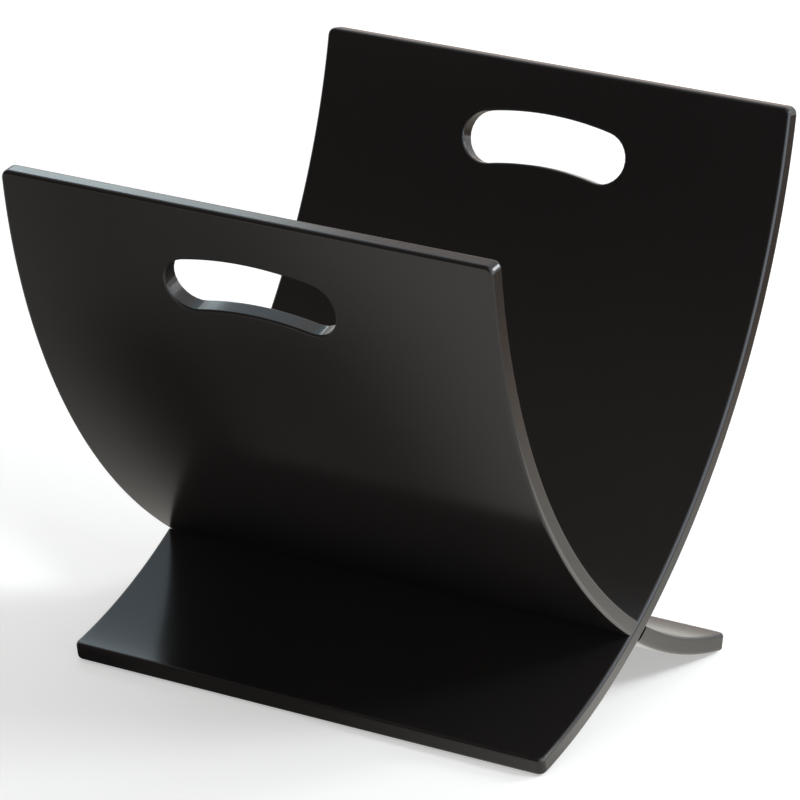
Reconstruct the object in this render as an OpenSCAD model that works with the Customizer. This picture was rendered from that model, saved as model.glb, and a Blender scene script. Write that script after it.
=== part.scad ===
// Newspaper rack. Two leaves of bent plywood, alike but turned half round from each other,
// cross low down and slide together along their width in a cross-lap joint.
// Each leaf ends below as a foot and rises on the far side as one wall of the trough.
// X runs along the straight edges, Y from front to back, Z up. The origin is on the
// floor, midway between the feet. All sizes are in millimetres, all angles in degrees.

/* [Leaf] */
// Width of each leaf, along its straight edges
leaf_w = 330; // [240:5:420]
// Thickness of the pressed plywood
leaf_t = 11.5; // [8:0.5:15]
// Rounding of the outer edges
edge_r = 2.5; // [1:0.25:3.5]

/* [Curve] */
// Slope of each leaf where the two cross
cross_slope = 33; // [29:0.5:40]
// Bend radius from the crossing down to the end of the foot
foot_r = 330; // [260:5:420]
// Turn of the foot, from its end up to the crossing
foot_sweep = 21.7; // [17:0.1:27]
// Bend radius from the crossing up to the top edge
wall_r = 407; // [330:1:500]
// Turn of the wall, from the crossing up to its top edge
wall_sweep = 48.5; // [38:0.5:58]

/* [Hand hole] */
// Length of the hand hole from end to end
hole_len = 115; // [90:1:145]
// Height of the hand hole
hole_h = 33; // [25:1:40]
// Radius of the arch along the middle of the hand hole
hole_arch_r = 203; // [150:1:300]
// Distance from the top edge down to the hand hole, at mid-width
hole_drop = 31; // [20:1:45]

/* [Cross-lap joint] */
// Gap between each face of a leaf and the slot that it sits in
lap_gap = 0.15; // [0.05:0.05:0.4]
// Gap between the inner ends of the two slots
lap_end_gap = 0.5; // [0.2:0.1:2]

/* [Foot pads] */
// Diameter of each rubber pad
pad_d = 14; // [8:1:20]
// Distance from the end of the foot to the middle of the pad
pad_inset = 13; // [11:0.5:25]
// Distance from the side edge of the leaf to the middle of the pad
pad_side = 32; // [15:1:60]
// Height of the foot's lowest edge above the floor
foot_lift = 1; // [0.5:0.25:3]
// Thickness of the adhesive film above each pad
film_t = 0.15; // [0.1:0.05:0.4]

/* [Hidden] */

// Facets of a full turn, on the bends, the pads and the edge roundings
bend_fn = 240;
pad_fn = 96;
edge_fn = 24;
// Flats along each arc of the hand hole's outline, and along each rounded end
hole_steps = 16;
end_steps = 5;
// How far a cutter runs past what it cuts
over = 1;

// Angle that a length covers along a bend
function turn(length, r) = length / r * 180 / PI;
// Unit vectors [y, z] along a slope and square to it
function along(slope) = [cos(slope), sin(slope)];
function square_to(slope) = [-sin(slope), cos(slope)];
// Points of an arc about a middle, from angle a to angle b
function arc(middle, r, a, b, steps) = [for (i = [0:steps]) middle + r * along(a + (b - a) * i / steps)];

// From the crossing to the underside of the foot's rounded end, and so how high the crossing is
foot_slope = cross_slope - foot_sweep;
foot_end = foot_r * (square_to(cross_slope) - square_to(foot_slope));
end_corner = foot_end + edge_r * along(foot_slope) - (leaf_t / 2 - edge_r) * square_to(foot_slope);
cross_h = foot_lift + edge_r - end_corner[1];

// Where the hand hole and the pads are, as turns from the crossing
hole_turn = wall_sweep - turn(hole_drop + hole_h / 2, wall_r);
pad_slope = foot_slope + turn(pad_inset, foot_r);
pad_at = [0, cross_h] + foot_r * (square_to(cross_slope) - square_to(pad_slope));

// Puts its children in the leaf's own frame: origin at the crossing, Y up along the leaf
module at_crossing() translate([0, 0, cross_h]) rotate([cross_slope, 0, 0]) children();

// In the leaf's frame, moves its children round a bend of radius r by an angle
module round_bend(r, angle) translate([0, 0, r]) rotate([angle, 0, 0]) translate([0, 0, -r]) children();

// In the leaf's frame, sweeps its child round a bend; side 1 goes up the wall, -1 down the foot
module bend(r, sweep, side) {
    mirror([0, (1 - side) / 2, 0]) translate([0, 0, r]) rotate([90, 0, 90]) rotate(-90)
        rotate_extrude(angle = sweep, $fn = bend_fn) translate([r, 0]) children();
}

// Sweeps its child along the whole leaf, from the foot's end in front to the top edge at the back
module follow_leaf() at_crossing() {
    bend(foot_r, foot_sweep, -1) children();
    bend(wall_r, wall_sweep, 1) children();
}

// Rectangle t by w with its corners rounded by r
module rounded_section(t, w, r) {
    square([t - 2 * r, w], center = true);
    square([t, w - 2 * r], center = true);
    for (x = [-1, 1], y = [-1, 1])
        translate([x * (t / 2 - r), y * (w / 2 - r)]) circle(r, $fn = edge_fn);
}

// Takes the two corners off a leaf's end; side 1 is an end that faces along Y, -1 against it
module round_end(side) {
    corner = [-edge_r, leaf_t / 2 - edge_r];
    mirror([0, (1 - side) / 2, 0]) rotate([90, 0, 90])
        linear_extrude(leaf_w + 2 * over, center = true)
            for (face = [0, 1]) mirror([0, face]) polygon(concat(
                arc(corner, edge_r, 90, 0, end_steps),
                [[over, corner[1]], [over, leaf_t / 2 + over], [corner[0], leaf_t / 2 + over]]
            ));
}

// Arched slot with full-round ends, its middle at the origin
module hand_hole_outline() {
    half_turn = asin((hole_len - hole_h) / 2 / hole_arch_r);
    middle = [0, -hole_arch_r];
    left = 90 + half_turn;
    right = 90 - half_turn;
    polygon(concat(
        arc(middle, hole_arch_r + hole_h / 2, left, right, hole_steps),
        arc(middle + hole_arch_r * along(right), hole_h / 2, right, right - 180, hole_steps),
        arc(middle, hole_arch_r - hole_h / 2, right, left, hole_steps),
        arc(middle + hole_arch_r * along(left), hole_h / 2, left + 180, left, hole_steps)
    ));
}

// Room for the other leaf: a slot from the right-hand edge to mid-width
module lap_slot() {
    slot_w = (leaf_w + lap_end_gap) / 2 + over;
    translate([(slot_w - lap_end_gap) / 2, 0, 0]) mirror([0, 1, 0])
        follow_leaf() square([leaf_t + 2 * lap_gap, slot_w], center = true);
}

// Either leaf, with its foot in front and its slot open to the right
module leaf() {
    difference() {
        follow_leaf() rounded_section(leaf_t, leaf_w, edge_r);
        at_crossing() {
            round_bend(foot_r, -foot_sweep) round_end(-1);
            round_bend(wall_r, wall_sweep) round_end(1);
            round_bend(wall_r, hole_turn) linear_extrude(3 * leaf_t, center = true) hand_hole_outline();
        }
        lap_slot();
    }
}

// Pad under the front foot, its top shaped to the leaf's underside; side is -1 or 1
module pad(side) {
    difference() {
        translate([side * (leaf_w / 2 - pad_side), pad_at[0], 0]) cylinder(h = pad_at[1], d = pad_d, $fn = pad_fn);
        follow_leaf() square([leaf_t + 2 * film_t, leaf_w], center = true);
    }
}

// Leaf that stands at the back; its foot is in front and its right-hand edge is unbroken
module back_leaf() color([0.1, 0.095, 0.09]) mirror([1, 0, 0]) leaf();

// Leaf that stands in front; its foot is at the rear and its left-hand edge is unbroken
module front_leaf() color([0.13, 0.12, 0.11]) mirror([0, 1, 0]) leaf();

module front_left_pad() color([0.03, 0.03, 0.03]) pad(-1);
module front_right_pad() color([0.03, 0.03, 0.03]) pad(1);
module rear_left_pad() color([0.03, 0.03, 0.03]) mirror([0, 1, 0]) pad(-1);
module rear_right_pad() color([0.03, 0.03, 0.03]) mirror([0, 1, 0]) pad(1);

back_leaf();
front_leaf();
front_left_pad();
front_right_pad();
rear_left_pad();
rear_right_pad();
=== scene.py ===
import math

import bpy
from mathutils import Matrix, Vector
from mathutils.geometry import delaunay_2d_cdt


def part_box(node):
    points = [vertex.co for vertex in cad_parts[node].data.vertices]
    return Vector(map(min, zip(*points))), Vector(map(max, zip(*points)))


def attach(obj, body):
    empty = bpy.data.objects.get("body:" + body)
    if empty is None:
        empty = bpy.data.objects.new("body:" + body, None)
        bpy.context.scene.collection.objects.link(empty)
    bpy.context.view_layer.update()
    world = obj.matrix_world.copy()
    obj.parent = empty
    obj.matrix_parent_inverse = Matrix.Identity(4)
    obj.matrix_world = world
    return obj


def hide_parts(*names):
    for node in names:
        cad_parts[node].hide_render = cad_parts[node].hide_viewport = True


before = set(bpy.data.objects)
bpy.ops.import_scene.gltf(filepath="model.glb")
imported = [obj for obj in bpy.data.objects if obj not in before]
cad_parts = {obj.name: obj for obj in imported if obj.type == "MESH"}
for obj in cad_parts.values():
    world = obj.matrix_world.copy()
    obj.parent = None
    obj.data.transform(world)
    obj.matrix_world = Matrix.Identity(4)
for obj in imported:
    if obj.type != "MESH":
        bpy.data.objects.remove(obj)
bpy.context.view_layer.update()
scene = bpy.context.scene
mm = 0.001
tiny = 1e-9   # keeps a length off zero

# shared helpers

def linearColour(hexCode):
    parts = [int(hexCode[i:i + 2], 16) / 255 for i in (1, 3, 5)]
    return tuple(c / 12.92 if c <= 0.04045 else ((c + 0.055) / 1.055) ** 2.4 for c in parts) + (1.0,)


def addNode(tree, kind, settings=None, links=None):
    node = tree.nodes.new(kind)
    for key, value in (settings or {}).items():
        if isinstance(key, int) or key in node.inputs:
            node.inputs[key].default_value = value
        else:
            setattr(node, key, value)
    for key, source in (links or {}).items():
        tree.links.new(source, node.inputs[key])
    return node


def newMaterial(name):   # with an empty node tree
    material = bpy.data.materials.new(name)
    material.use_nodes = True
    material.node_tree.nodes.clear()
    return material, material.node_tree


def wayTo(azimuth, height):   # a direction out from the middle, degrees from straight behind towards the right
    around, up = math.radians(azimuth), math.radians(height)
    return Vector((math.sin(around) * math.cos(up), math.cos(around) * math.cos(up), math.sin(up)))


def addMesh(name, points, faces):
    mesh = bpy.data.meshes.new(name)
    mesh.from_pydata([tuple(p) for p in points], [], faces)
    mesh.update()
    piece = bpy.data.objects.new(name, mesh)
    scene.collection.objects.link(piece)
    return piece


# camera

cameraView = {
    "azimuth": 30.713,     # degrees round from square-on at the front
    "elevation": 19.841,
    "roll": 0.814,
    "distance": 3124.3,    # mm from the aim point
    "aim": (-29.8, 44.5, 148.1),
    "lens": 228.07,
    "sensor": 36.0,
    "clip": (0.1, 100.0),  # m
}


def placeCamera(view):
    around, up, roll = (math.radians(view[k]) for k in ("azimuth", "elevation", "roll"))
    forward = Vector((-math.sin(around) * math.cos(up), math.cos(around) * math.cos(up), -math.sin(up)))
    right = Vector((math.cos(around), math.sin(around), 0))
    above = right.cross(forward)
    right, above = (math.cos(roll) * right + math.sin(roll) * above,
                    math.cos(roll) * above - math.sin(roll) * right)
    data = bpy.data.cameras.new("camera")
    data.lens, data.sensor_width = view["lens"], view["sensor"]
    data.clip_start, data.clip_end = view["clip"]
    camera = bpy.data.objects.new("camera", data)
    scene.collection.objects.link(camera)
    turn = Matrix((right, above, -forward)).transposed().to_4x4()
    place = (Vector(view["aim"]) - forward * view["distance"]) * mm
    camera.matrix_world = Matrix.Translation(place) @ turn
    scene.camera = camera


placeCamera(cameraView)
print("camera placed")

# satin black lacquer, sprayed and rubbed down over bent birch ply

lacquerValues = {
    "colour": "#1F1E1E",       # near-black
    "warmColour": "#23201F",   # where the coat is a little thinner
    "roughness": 0.18,
    "roughnessSpread": 0.03,
    "cloudSize": 60.0,         # mm, slow change of sheen over a leaf
    "peelSize": 2.2,           # mm between the low swells of a sprayed coat
    "peelDepth": 0.003,        # mm
    "ior": 1.5,
}


def satinLacquer(values):
    material, tree = newMaterial("satinBlackLacquerOnPly")
    # gives the eye a near-black with a soft, slightly uneven sheen and a faint orange peel
    sheet = addNode(tree, "ShaderNodeAttribute", {"attribute_name": "sheet"})
    clouds = addNode(tree, "ShaderNodeTexNoise", {"Scale": 1 / (values["cloudSize"] * mm), "Detail": 2.0},
                     {"Vector": sheet.outputs["Vector"]})
    tone = addNode(tree, "ShaderNodeMix",   # 6 and 7 are its two colours, 0 the share of the second
                   {"data_type": "RGBA", 6: linearColour(values["colour"]),
                    7: linearColour(values["warmColour"])}, {0: clouds.outputs["Fac"]})
    sheen = addNode(tree, "ShaderNodeMapRange",
                    {"To Min": values["roughness"] - values["roughnessSpread"],
                     "To Max": values["roughness"] + values["roughnessSpread"]},
                    {"Value": clouds.outputs["Fac"]})
    peel = addNode(tree, "ShaderNodeTexNoise", {"Scale": 1 / (values["peelSize"] * mm), "Detail": 1.0},
                   {"Vector": sheet.outputs["Vector"]})
    peelBump = addNode(tree, "ShaderNodeBump", {"Strength": 1.0, "Distance": values["peelDepth"] * mm},
                       {"Height": peel.outputs["Fac"]})
    shader = addNode(tree, "ShaderNodeBsdfPrincipled", {"IOR": values["ior"]},
                     {"Base Color": tone.outputs[2], "Roughness": sheen.outputs["Result"],
                      "Normal": peelBump.outputs["Normal"]})
    addNode(tree, "ShaderNodeOutputMaterial", {}, {"Surface": shader.outputs["BSDF"]})
    return material


lacquer = satinLacquer(lacquerValues)

# bent-ply leaf, drawn as a flat sheet and then bent: x across, s along from the crossing, n above mid-thickness

leafValues = {             # mm and degrees
    "thickness": 11.5,
    "crossSlope": 33.0,    # where the two leaves cross
    "footRadius": 330.0,
    "footSweep": 21.7,
    "wallRadius": 407.0,
    "wallSweep": 48.5,
    "edgeRound": 2.5,
    "cornerRound": 5.0,    # corners of the sheet, seen square-on
    "rowStep": 4.0,        # between mesh rows along the bend
    "columnStep": 12.0,
    "roundSteps": 5,       # mesh steps round each edge and corner
    "weld": 1e-6,          # points nearer than this are one
}
holeValues = {
    "length": 115.0,
    "height": 33.0,
    "archRadius": 203.0,
    "drop": 31.0,          # from the top edge
    "edgeRound": 1.5,
    "archSteps": 28,
    "endSteps": 14,
    "keepFrom": 0.9,       # of its edge round: a triangle with its middle nearer the hole lies in the hole
}
lapValues = {
    "gap": 0.15,
    "endGap": 0.5,
    "reach": 32.0,         # along the other leaf, each way from the crossing
    "overrun": 2,          # past the side edge, so that the cut is clean
    "steps": 32,
}

backLow, backHigh = (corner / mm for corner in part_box("back_leaf"))
halfWidth = (backHigh.x - backLow.x) / 2
halfThick = leafValues["thickness"] / 2
roundSteps = leafValues["roundSteps"]
crossSlope = math.radians(leafValues["crossSlope"])
footLength = leafValues["footRadius"] * math.radians(leafValues["footSweep"])
wallLength = leafValues["wallRadius"] * math.radians(leafValues["wallSweep"])
holeMiddle = wallLength - holeValues["drop"] - holeValues["height"] / 2
holeHalfTurn = math.asin((holeValues["length"] - holeValues["height"]) / 2 / holeValues["archRadius"])


def bentPoint(x, s, n):   # from the flat sheet to the bent one, crossing at the origin
    radius = leafValues["wallRadius"] if s > 0 else leafValues["footRadius"]
    turn = crossSlope + s / radius
    return Vector((x, radius * (math.sin(turn) - math.sin(crossSlope)) - n * math.sin(turn),
                   radius * (math.cos(crossSlope) - math.cos(turn)) + n * math.cos(turn)))


def unbend(point, radius):
    y = point.y + radius * math.sin(crossSlope)
    z = point.z - radius * math.cos(crossSlope)
    turn = math.atan2(y, -z)
    return point.x, radius * (turn - crossSlope), radius - math.hypot(y, z), turn


def sheetPoint(point):   # back from the bent sheet to the flat one, with the slope there
    onWall = unbend(point, leafValues["wallRadius"])
    return onWall if onWall[3] >= crossSlope else unbend(point, leafValues["footRadius"])


def outerEdge(x, s):   # distance inside the sheet's outline, and the way out
    corner = leafValues["cornerRound"]
    along = s - (wallLength - footLength) / 2
    over = abs(x) - (halfWidth - corner)
    overEnd = abs(along) - ((wallLength + footLength) / 2 - corner)
    if over > 0 and overEnd > 0:
        length = math.hypot(over, overEnd)
        out = (math.copysign(over / length, x), math.copysign(overEnd / length, along))
        return corner - length, out
    if over > overEnd:
        return corner - over, (math.copysign(1, x), 0.0)
    return corner - overEnd, (0.0, math.copysign(1, along))


def holeEdge(x, s):   # distance into the wood from the hand hole, and the way out of the wood
    radius = holeValues["archRadius"]
    up = s - holeMiddle + radius
    turn = max(-holeHalfTurn, min(holeHalfTurn, math.atan2(x, up)))
    dx, ds = x - radius * math.sin(turn), up - radius * math.cos(turn)
    length = max(math.hypot(dx, ds), tiny)
    return length - holeValues["height"] / 2, (-dx / length, -ds / length)


def surfaceNormal(x, s, n, turn):   # of the bent leaf, turned outwards over its rounded edges
    edges = [(outerEdge(x, s), leafValues["edgeRound"]), (holeEdge(x, s), holeValues["edgeRound"])]
    (inset, out), rounding = min(edges, key=lambda edge: edge[0][0])
    level = min(1.0, max(0.0, (rounding - inset) / rounding))
    rise = math.copysign(math.sqrt(1 - level * level), n)
    along = level * out[1]
    return Vector((level * out[0], along * math.cos(turn) - rise * math.sin(turn),
                   along * math.sin(turn) + rise * math.cos(turn))).normalized()


def outerLoop():   # points of the outline and the ways out of the wood, anticlockwise
    corner, points = leafValues["cornerRound"], []
    left, right, low, high = -halfWidth, halfWidth, -footLength, wallLength
    corners = [(left, low, 180), (right, low, 270), (right, high, 0), (left, high, 90)]
    for i, (cx, cs, start) in enumerate(corners):
        mx, ms = cx - math.copysign(corner, cx), cs - math.copysign(corner, cs)
        for k in range(roundSteps + 1):
            a = math.radians(start + 90 * k / roundSteps)
            points.append((mx + corner * math.cos(a), ms + corner * math.sin(a), math.cos(a), math.sin(a)))
        x, s, gx, gs = points[-1]   # and on along the straight side
        nx, ns = corners[(i + 1) % 4][:2]
        lengthOn = abs(nx - cx) + abs(ns - cs) - 2 * corner
        steps = round(lengthOn / (leafValues["rowStep"] if gx else leafValues["columnStep"]))
        wayX, wayS = (nx > cx) - (nx < cx), (ns > cs) - (ns < cs)
        points += [(x + wayX * lengthOn * k / steps, s + wayS * lengthOn * k / steps, gx, gs)
                   for k in range(1, steps)]
    return points


def holeLoop():   # the same for the hand hole, clockwise: its upper arc, right end, lower arc and left end
    radius, half = holeValues["archRadius"], holeValues["height"] / 2
    base, steps, endSteps = holeMiddle - radius, holeValues["archSteps"], holeValues["endSteps"]
    endX, endS = radius * math.sin(holeHalfTurn), base + radius * math.cos(holeHalfTurn)
    arcs = [   # middle, radius, first angle, sweep, steps, and 1 or -1 for the way out of the wood
        (0, base, radius + half, -holeHalfTurn, 2 * holeHalfTurn, steps, -1),
        (endX, endS, half, holeHalfTurn, math.pi, endSteps, -1),
        (0, base, radius - half, holeHalfTurn, -2 * holeHalfTurn, steps, 1),
        (-endX, endS, half, -holeHalfTurn + math.pi, math.pi, endSteps, -1),
    ]
    points = []
    for mx, ms, arcRadius, start, sweep, count, way in arcs:
        for a in (start + sweep * k / count for k in range(count)):
            points.append((mx + arcRadius * math.sin(a), ms + arcRadius * math.cos(a),
                           way * math.sin(a), way * math.cos(a)))
    return points


def joinRings(above, below):   # four-sided faces between two rings of points
    count = len(above)
    return [(above[i], below[i], below[(i + 1) % count], above[(i + 1) % count]) for i in range(count)]


def cleanOfEdges(x, s):   # far enough in for a point of the plain mesh
    return outerEdge(x, s)[0] > 2 * leafValues["edgeRound"] and holeEdge(x, s)[0] > 2 * holeValues["edgeRound"]


def wholeLeaf(name):   # the leaf before its slot is cut
    loops = [(outerLoop(), leafValues["edgeRound"]), (holeLoop(), holeValues["edgeRound"])]
    flat, edges, rings = [], [], []
    for loop, rounding in loops:
        first = len(flat)
        flat += [(x - gx * rounding, s - gs * rounding) for x, s, gx, gs in loop]
        rings.append(list(range(first, first + len(loop))))
        edges += [(first + i, first + (i + 1) % len(loop)) for i in range(len(loop))]
    rows = int((footLength + wallLength) / leafValues["rowStep"])
    columns = int(2 * halfWidth / leafValues["columnStep"])
    for i in range(1, rows):
        for j in range(1, columns):
            x = -halfWidth + 2 * halfWidth * j / columns
            s = -footLength + (footLength + wallLength) * i / rows
            if cleanOfEdges(x, s):
                flat.append((x, s))
    done = delaunay_2d_cdt([Vector(p) for p in flat], edges, [], 0, leafValues["weld"])
    source = [ids[0] for ids in done[3]]   # the point each made point stands for
    triangles = []
    for face in done[2]:
        a, b, c = (source[i] for i in face)
        x, s = (sum(flat[i][k] for i in (a, b, c)) / 3 for k in (0, 1))
        if holeEdge(x, s)[0] > holeValues["edgeRound"] * holeValues["keepFrom"] and outerEdge(x, s)[0] > 0:
            area = ((flat[b][0] - flat[a][0]) * (flat[c][1] - flat[a][1])
                    - (flat[c][0] - flat[a][0]) * (flat[b][1] - flat[a][1]))
            triangles.append((a, b, c) if area > 0 else (a, c, b))
    count = len(flat)
    points = [bentPoint(x, s, halfThick) for x, s in flat] + [bentPoint(x, s, -halfThick) for x, s in flat]
    faces = triangles + [(a + count, c + count, b + count) for a, b, c in triangles]
    for (loop, rounding), ring in zip(loops, rings):   # the rounded edges between the two faces
        levels = [(rounding * (1 - math.sin(a)), halfThick - rounding * (1 - math.cos(a)))
                  for a in (math.pi / 2 * k / roundSteps for k in range(1, roundSteps + 1))]
        levels += [(inset, -n) for inset, n in reversed(levels)]
        above = ring
        for inset, n in levels[:-1]:
            below = list(range(len(points), len(points) + len(loop)))
            points += [bentPoint(x - gx * inset, s - gs * inset, n) for x, s, gx, gs in loop]
            faces += joinRings(above, below)
            above = below
        faces += joinRings(above, [i + count for i in ring])
    return addMesh(name, points, faces)


def slotCutter():   # the other leaf, a gap thicker, from the left-hand edge to mid-width
    half, reach, steps = halfThick + lapValues["gap"], lapValues["reach"], lapValues["steps"]
    left, right = -halfWidth - lapValues["overrun"], lapValues["endGap"] / 2
    points, faces = [], []
    for i in range(steps + 1):
        s = -reach + 2 * reach * i / steps
        for x, n in ((left, half), (left, -half), (right, -half), (right, half)):
            p = bentPoint(x, s, n)
            points.append((p.x, -p.y, p.z))
    for i in range(steps):
        for k in range(4):
            a, b = 4 * i + k, 4 * i + (k + 1) % 4
            faces.append((a, b, b + 4, a + 4))
    faces += [(3, 2, 1, 0), tuple(4 * steps + k for k in range(4))]
    return addMesh("slotCutter", points, faces)


def cutSlot(leaf):   # the faces it leaves have material index 1
    cutter = slotCutter()
    for mesh in (cutter.data, leaf.data):
        mesh.materials.append(None)
        mesh.materials.append(None)
    for face in cutter.data.polygons:
        face.material_index = 1
    modifier = leaf.modifiers.new("slot", "BOOLEAN")
    modifier.operation, modifier.solver, modifier.object = "DIFFERENCE", "EXACT", cutter
    modifier.material_mode = "INDEX"
    bpy.context.view_layer.update()
    cut = bpy.data.meshes.new_from_object(leaf.evaluated_get(bpy.context.evaluated_depsgraph_get()))
    leaf.modifiers.clear()
    leaf.data = cut
    bpy.data.objects.remove(cutter)


def dressLeaf(leaf):   # smooth shading from the true surface, and sheet coordinates for the finish
    mesh = leaf.data
    where = [sheetPoint(v.co) for v in mesh.vertices]
    normals = [None] * len(mesh.loops)
    for face in mesh.polygons:
        for loop in face.loop_indices:
            there = where[mesh.loops[loop].vertex_index]
            normals[loop] = face.normal if face.material_index == 1 else surfaceNormal(*there)
    mesh.materials.clear()
    mesh.materials.append(lacquer)
    for face in mesh.polygons:
        face.material_index = 0
        face.use_smooth = True
    mesh.normals_split_custom_set(normals)
    sheet = mesh.attributes.new("sheet", "FLOAT_VECTOR", "POINT")
    for i, (x, s, n, turn) in enumerate(where):
        sheet.data[i].vector = (x * mm, s * mm, n * mm)


backLeaf = wholeLeaf("backLeafLacquered")
cutSlot(backLeaf)
dressLeaf(backLeaf)
print("leaf made,", len(backLeaf.data.polygons), "faces")

crossHeight = backLow.z - min(v.co.z for v in backLeaf.data.vertices)
# the front leaf is the same leaf, half a turn round
frontLeaf = bpy.data.objects.new("frontLeafLacquered", backLeaf.data.copy())
scene.collection.objects.link(frontLeaf)
for piece, turn, node in ((backLeaf, 0.0, "back_leaf"), (frontLeaf, math.pi, "front_leaf")):
    stand = Matrix.Translation((0, 0, crossHeight * mm)) @ Matrix.Rotation(turn, 4, "Z")
    piece.data.transform(stand @ Matrix.Scale(mm, 4))
    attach(piece, "root")
    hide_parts(node)
print("leaves crossed at", round(crossHeight, 3), "mm up")

# stick-on rubber pads under the ends of the feet

padValues = {              # mm
    "rimRound": 0.8,
    "film": 0.15,          # adhesive between pad and leaf
    "aroundSteps": 64,
    "rimSteps": 4,
    "topRings": (0.66, 0.33),   # of the radius
    "colour": "#1A1A1A",
    "roughness": 0.75,
    "ior": 1.52,
    "grainSize": 0.5,      # fine matt grain of moulded rubber
    "grainDepth": 0.02,
    "flatFrom": 0.9,       # upright part of a face's normal from which it is shaded flat
}


def mouldedRubber(values):
    material, tree = newMaterial("mouldedBlackRubber")
    # gives the eye a flat, dry black without a highlight
    coords = addNode(tree, "ShaderNodeTexCoord")
    grain = addNode(tree, "ShaderNodeTexNoise", {"Scale": 1 / (values["grainSize"] * mm), "Detail": 2.0},
                    {"Vector": coords.outputs["Object"]})
    bump = addNode(tree, "ShaderNodeBump", {"Strength": 1.0, "Distance": values["grainDepth"] * mm},
                   {"Height": grain.outputs["Fac"]})
    shader = addNode(tree, "ShaderNodeBsdfPrincipled",
                     {"Base Color": linearColour(values["colour"]), "Roughness": values["roughness"],
                      "IOR": values["ior"]}, {"Normal": bump.outputs["Normal"]})
    addNode(tree, "ShaderNodeOutputMaterial", {}, {"Surface": shader.outputs["BSDF"]})
    return material


rubber = mouldedRubber(padValues)


def undersideHeight(y):   # lower face of the front foot, less the adhesive
    radius = leafValues["footRadius"] + halfThick + padValues["film"]
    away = y + leafValues["footRadius"] * math.sin(crossSlope)
    return crossHeight + leafValues["footRadius"] * math.cos(crossSlope) - math.sqrt(radius ** 2 - away ** 2)


def addPad(name, node):
    low, high = (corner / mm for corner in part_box(node))
    middle, radius = (low + high) / 2, (high.x - low.x) / 2
    around, rim, rimSteps = padValues["aroundSteps"], padValues["rimRound"], padValues["rimSteps"]
    levels = [(radius - rim, low.z)]   # distance from the middle, and height, none where it follows the leaf
    levels += [(radius - rim * (1 - math.sin(a)), low.z + rim * (1 - math.cos(a)))
               for a in (math.pi / 2 * k / rimSteps for k in range(1, rimSteps + 1))]
    levels += [(radius, None)] + [(radius * share, None) for share in padValues["topRings"]]
    points, faces = [Vector((middle.x, middle.y, low.z))], []
    for distance, height in levels:
        for k in range(around):
            a = 2 * math.pi * k / around
            x, y = middle.x + distance * math.cos(a), middle.y + distance * math.sin(a)
            points.append(Vector((x, y, undersideHeight(-abs(y)) if height is None else height)))
    points.append(Vector((middle.x, middle.y, undersideHeight(-abs(middle.y)))))
    last = len(points) - 1
    for k in range(around):
        j = (k + 1) % around
        faces.append((0, 1 + j, 1 + k))
        for first in range(1, last - around, around):   # first point of each ring but the top one
            faces.append((first + k, first + j, first + around + j, first + around + k))
        faces.append((last - around + k, last - around + j, last))
    pad = addMesh(name, [p * mm for p in points], faces)
    pad.data.materials.append(rubber)
    for face in pad.data.polygons:   # the flat base and top stay flat
        face.use_smooth = abs(face.normal.z) < padValues["flatFrom"] and len(face.vertices) == 4
    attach(pad, "root")
    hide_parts(node)


for name, node in (("frontLeftPad", "front_left_pad"), ("frontRightPad", "front_right_pad"),
                   ("rearLeftPad", "rear_left_pad"), ("rearRightPad", "rear_right_pad")):
    addPad(name, node)
print("pads stuck on")

# pale floor, white surround, soft studio light, and cards with painted reflections for the lacquer

studioValues = {
    "floorColour": "#F6F6F4",
    "floorSize": 40.0,      # m
    "floorGlow": 0.41,      # lifts the lit floor to white
    "farGlow": 0.63,        # the same far from the lights
    "farFrom": 0.7,         # m from the middle, where the lift starts to rise, and where it has risen
    "farTo": 2.6,
    "surroundColour": "#FFFFFF",
    "surroundLight": 0.42,  # what the surround gives to matt surfaces
    "middle": (0, 0, 0.15), # m, what the lights face
}
# azimuth from straight behind towards the right and height in degrees, the rest in metres
softLights = [
    {"name": "backRightWindow", "azimuth": 43, "height": 24, "distance": 2.4, "size": (0.5, 0.95),
     "radiance": 12.5, "colour": "#F8FBFF"},
    {"name": "rightWindow", "azimuth": 78, "height": 36, "distance": 2.4, "size": (0.7, 0.42),
     "radiance": 22.0, "colour": "#F8FBFF"},
    {"name": "backLeftWindow", "azimuth": -46.8, "height": 33.8, "distance": 3.02, "size": (0.8, 0.3),
     "radiance": 4.5, "colour": "#E6FAFF"},
]
# a painted reflection of the floor for the lacquer to mirror, in mm: a painted long soft shadow of the rack,
# and a darker brown fall-off behind
paintedFloorReflection = {
    "colour": "#FFFCF4",
    "backColour": "#FFDCC4",
    "reach": 1500,          # half the side of the card
    "step": 30,
    "lift": 0.4,            # above the floor
    "shadowAzimuth": 215.6, # degrees, the way the shadow falls
    "shadowStart": (0, -60),
    "shadowFade": (-20, -160),      # back over the start, where it ends
    "grow": (230, 480),     # out along the shadow over which it pales
    "streak": (-108, 0.105, 0.02, 0.22),   # where its darkest line lies, its slant, and its tone near and far
    "middle": (0.09, 0.26), # tone near and far
    "middleFade": (5, 45),  # away from the darkest line
    "leftTone": 0.42,
    "leftFade": (5, 115),   # away from the darkest line
    "rightTone": 0.92,
    "rightFade": (15, 220),
    "backFade": (330, 950), # out from the middle
    "backSide": (-150, 350),        # from the front to the back
    "backTone": 0.22,
    "behind": (150, 300, 0.62),     # painted shade on the floor close behind the rear foot, from and to, and its tone
    "behindSide": (220, 100),       # where that ends at the right
    "sunPatch": (310, -20, 190, 2.8),      # a painted patch of light to the right: middle, radius, tone
    "sunCore": 0.2,         # of the radius, painted evenly bright
}
roomCardMesh = {"rows": 48, "columns": 32, "toneHeights": (20, 60)}   # degrees over which the tone changes
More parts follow.
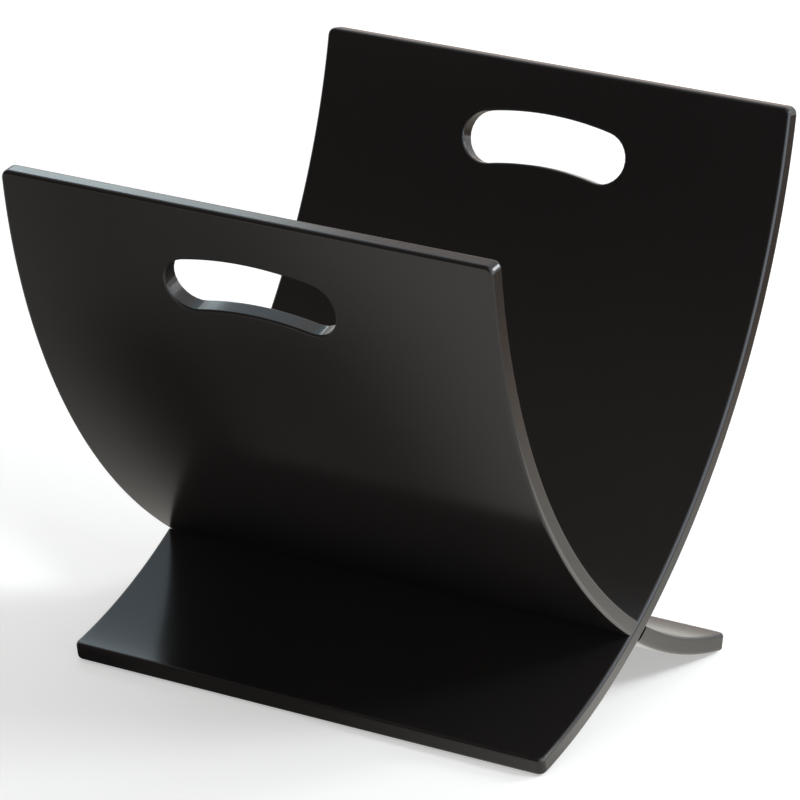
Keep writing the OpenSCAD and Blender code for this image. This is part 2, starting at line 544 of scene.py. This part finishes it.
# painted reflections for the lacquer: a dark sheet as a painted dark room, a cool and a warm wall, and a
# glowing sky to the right up to 3.5 times white
paintedRoomReflections = [               # azimuths and heights in degrees; tones low down and high up, softness in degrees
    {"name": "paintedDarkRoom", "colour": "#FFF0E4", "distance": 2.5, "azimuths": (-215, -86), "heights": (-4, 88),
     "tones": (0.06, 0.18), "softness": 12},
    {"name": "paintedCoolWall", "colour": "#DFF3FF", "distance": 3.6, "azimuths": (-88, -40), "heights": (36, 80),
     "tones": (0.55, 1.12), "softness": 1},
    {"name": "paintedWarmWall", "colour": "#FFEDE6", "distance": 3.6, "azimuths": (-44, -12), "heights": (-3, 44),
     "tones": (0.72, 0.72), "softness": 5},
    {"name": "paintedRightSky", "colour": "#E4F0FF", "distance": 1.3, "azimuths": (60, 126), "heights": (1, 64),
     "tones": (3.5, 1.5), "softness": 10},
]


def rayWeight(tree):   # 1 for what is seen directly, mirrored or through glass
    path = addNode(tree, "ShaderNodeLightPath")
    first = addNode(tree, "ShaderNodeMath", {"operation": "MAXIMUM"},
                    {0: path.outputs["Is Camera Ray"], 1: path.outputs["Is Glossy Ray"]})
    both = addNode(tree, "ShaderNodeMath", {"operation": "MAXIMUM"},
                   {0: first.outputs[0], 1: path.outputs["Is Transmission Ray"]})
    return both.outputs[0]


def addFloor(values):
    material, tree = newMaterial("paleMattFloor")
    # gives the eye a plain white ground that still takes a soft shadow
    matt = addNode(tree, "ShaderNodeBsdfDiffuse", {"Color": linearColour(values["floorColour"])})
    spot = addNode(tree, "ShaderNodeTexCoord")
    away = addNode(tree, "ShaderNodeVectorMath", {"operation": "LENGTH"}, {0: spot.outputs["Object"]})
    rise = addNode(tree, "ShaderNodeMapRange",
                   {"interpolation_type": "SMOOTHSTEP", "From Min": values["farFrom"],
                    "From Max": values["farTo"], "To Min": values["floorGlow"], "To Max": values["farGlow"]},
                   {"Value": away.outputs["Value"]})
    lift = addNode(tree, "ShaderNodeMath", {"operation": "MULTIPLY"},
                   {0: rise.outputs["Result"], 1: rayWeight(tree)})
    glow = addNode(tree, "ShaderNodeEmission", {}, {"Strength": lift.outputs[0]})
    both = addNode(tree, "ShaderNodeAddShader", {}, {0: matt.outputs[0], 1: glow.outputs[0]})
    addNode(tree, "ShaderNodeOutputMaterial", {}, {"Surface": both.outputs[0]})
    half = values["floorSize"] / 2
    corners = [(-half, -half, 0), (half, -half, 0), (half, half, 0), (-half, half, 0)]
    floor = addMesh("floor", corners, [(0, 1, 2, 3)])
    floor.data.materials.append(material)


def addSurround(values):
    world = bpy.data.worlds.new("whiteSurround")
    scene.world = world
    world.use_nodes = True
    tree = world.node_tree
    tree.nodes.clear()
    strength = addNode(tree, "ShaderNodeMapRange", {"To Min": values["surroundLight"], "To Max": 1.0},
                       {"Value": rayWeight(tree)})
    shine = addNode(tree, "ShaderNodeBackground", {"Color": linearColour(values["surroundColour"])},
                    {"Strength": strength.outputs["Result"]})
    addNode(tree, "ShaderNodeOutputWorld", {}, {"Surface": shine.outputs[0]})


def placeAround(values):   # a place on a sphere round the object, facing it
    way = wayTo(values["azimuth"], values["height"])
    place = Vector(studioValues["middle"]) + way * values["distance"]
    return Matrix.Translation(place) @ way.to_track_quat("Z", "Y").to_matrix().to_4x4()


def addSoftLight(values):
    data = bpy.data.lights.new(values["name"], "AREA")
    data.shape = "RECTANGLE"
    data.size, data.size_y = values["size"]
    data.energy = values["radiance"] * math.pi * data.size * data.size_y
    data.color = linearColour(values["colour"])[:3]
    light = bpy.data.objects.new(values["name"], data)
    scene.collection.objects.link(light)
    light.matrix_world = placeAround(values)
    light.visible_camera = False


def smoothStep(low, high, value):   # 0 at low, 1 at high, and smooth between; high may be the lower number
    share = max(0.0, min(1.0, (value - low) / (high - low)))
    return share * share * (3 - 2 * share)


def addToneCard(name, rows, columns, placeAndShade):   # a grid that only reflections see, glowing with its own painted shades: a painted reflection
    material, tree = newMaterial(name + "Shades")
    shade = addNode(tree, "ShaderNodeAttribute", {"attribute_name": "shade"})
    glow = addNode(tree, "ShaderNodeEmission", {"Strength": 1.0}, {"Color": shade.outputs["Color"]})
    addNode(tree, "ShaderNodeOutputMaterial", {}, {"Surface": glow.outputs[0]})
    made = [placeAndShade(i / rows, j / columns) for i in range(rows + 1) for j in range(columns + 1)]
    faces = [(a, a + 1, a + columns + 2, a + columns + 1)
             for i in range(rows) for a in range(i * (columns + 1), i * (columns + 1) + columns)]
    card = addMesh(name, [place for place, colour in made], faces)
    shades = card.data.attributes.new("shade", "FLOAT_COLOR", "POINT")
    for i, (place, colour) in enumerate(made):
        shades.data[i].color = (*colour, 1.0)
    card.data.materials.append(material)
    card.visible_camera = card.visible_diffuse = card.visible_shadow = card.visible_transmission = False


# paints the floor card's shades: a painted shadow of the rack, painted shade behind the rear foot, a painted
# light patch and a brown fall-off behind
def floorShade(values):
    turn = math.radians(values["shadowAzimuth"])
    wayX, wayY = math.sin(turn), math.cos(turn)
    startX, startY = values["shadowStart"]
    streakStart, streakSlant, streakNear, streakFar = values["streak"]
    middleNear, middleFar = values["middle"]
    behindFrom, behindTo, behindTone = values["behind"]
    sunX, sunY, sunRadius, sunTone = values["sunPatch"]
    near, far = Vector(linearColour(values["colour"])[:3]), Vector(linearColour(values["backColour"])[:3])

    def placeAndShade(u, v):
        x, y = ((2 * k - 1) * values["reach"] for k in (u, v))
        out = (x - startX) * wayX + (y - startY) * wayY
        side = -(x - startX) * wayY + (y - startY) * wayX
        grown = smoothStep(*values["grow"], out)
        streak = streakNear + (streakFar - streakNear) * grown
        middle = middleNear + (middleFar - middleNear) * grown
        off = side - streakStart - streakSlant * out
        if off < 0:
            tone = streak + (values["leftTone"] - streak) * smoothStep(*values["leftFade"], -off)
        else:
            tone = streak + (middle - streak) * smoothStep(*values["middleFade"], off)
            tone += (values["rightTone"] - tone) * smoothStep(*values["rightFade"], side)
        tone += (1 - tone) * smoothStep(*values["shadowFade"], out)
        behind = smoothStep(behindFrom, behindTo, y) * smoothStep(*values["behindSide"], x)
        tone *= 1 + (behindTone - 1) * behind
        fromSun = math.hypot(x - sunX, y - sunY)
        tone += (sunTone - tone) * smoothStep(sunRadius, values["sunCore"] * sunRadius, fromSun)
        back = smoothStep(*values["backFade"], math.hypot(x, y)) * smoothStep(*values["backSide"], y)
        colour = near.lerp(far, back) * tone * (1 + (values["backTone"] - 1) * back)
        return (x * mm, y * mm, values["lift"] * mm), colour
    return placeAndShade


def roomShade(values):   # a painted reflection on part of a sphere round the object, fading to the white surround at its edges
    (fromAzimuth, toAzimuth), (fromHeight, toHeight) = values["azimuths"], values["heights"]
    (low, high), soft = values["tones"], values["softness"]
    tint, white = Vector(linearColour(values["colour"])[:3]), Vector((1, 1, 1))

    def placeAndShade(u, v):
        azimuth = fromAzimuth + (toAzimuth - fromAzimuth) * u
        height = fromHeight + (toHeight - fromHeight) * v
        inside = min(smoothStep(0, soft, azimuth - fromAzimuth), smoothStep(0, soft, toAzimuth - azimuth),
                     smoothStep(0, soft, toHeight - height))
        colour = tint * (low + (high - low) * smoothStep(*roomCardMesh["toneHeights"], height))
        return wayTo(azimuth, height) * values["distance"], white.lerp(colour, inside)
    return placeAndShade


addFloor(studioValues)
addSurround(studioValues)
for values in softLights:
    addSoftLight(values)
cardRows = round(2 * paintedFloorReflection["reach"] / paintedFloorReflection["step"])
addToneCard("paintedFloorReflection", cardRows, cardRows, floorShade(paintedFloorReflection))
for values in paintedRoomReflections:
    addToneCard(values["name"], roomCardMesh["rows"], roomCardMesh["columns"], roomShade(values))
scene.view_settings.view_transform = "Standard"
print("studio lit")
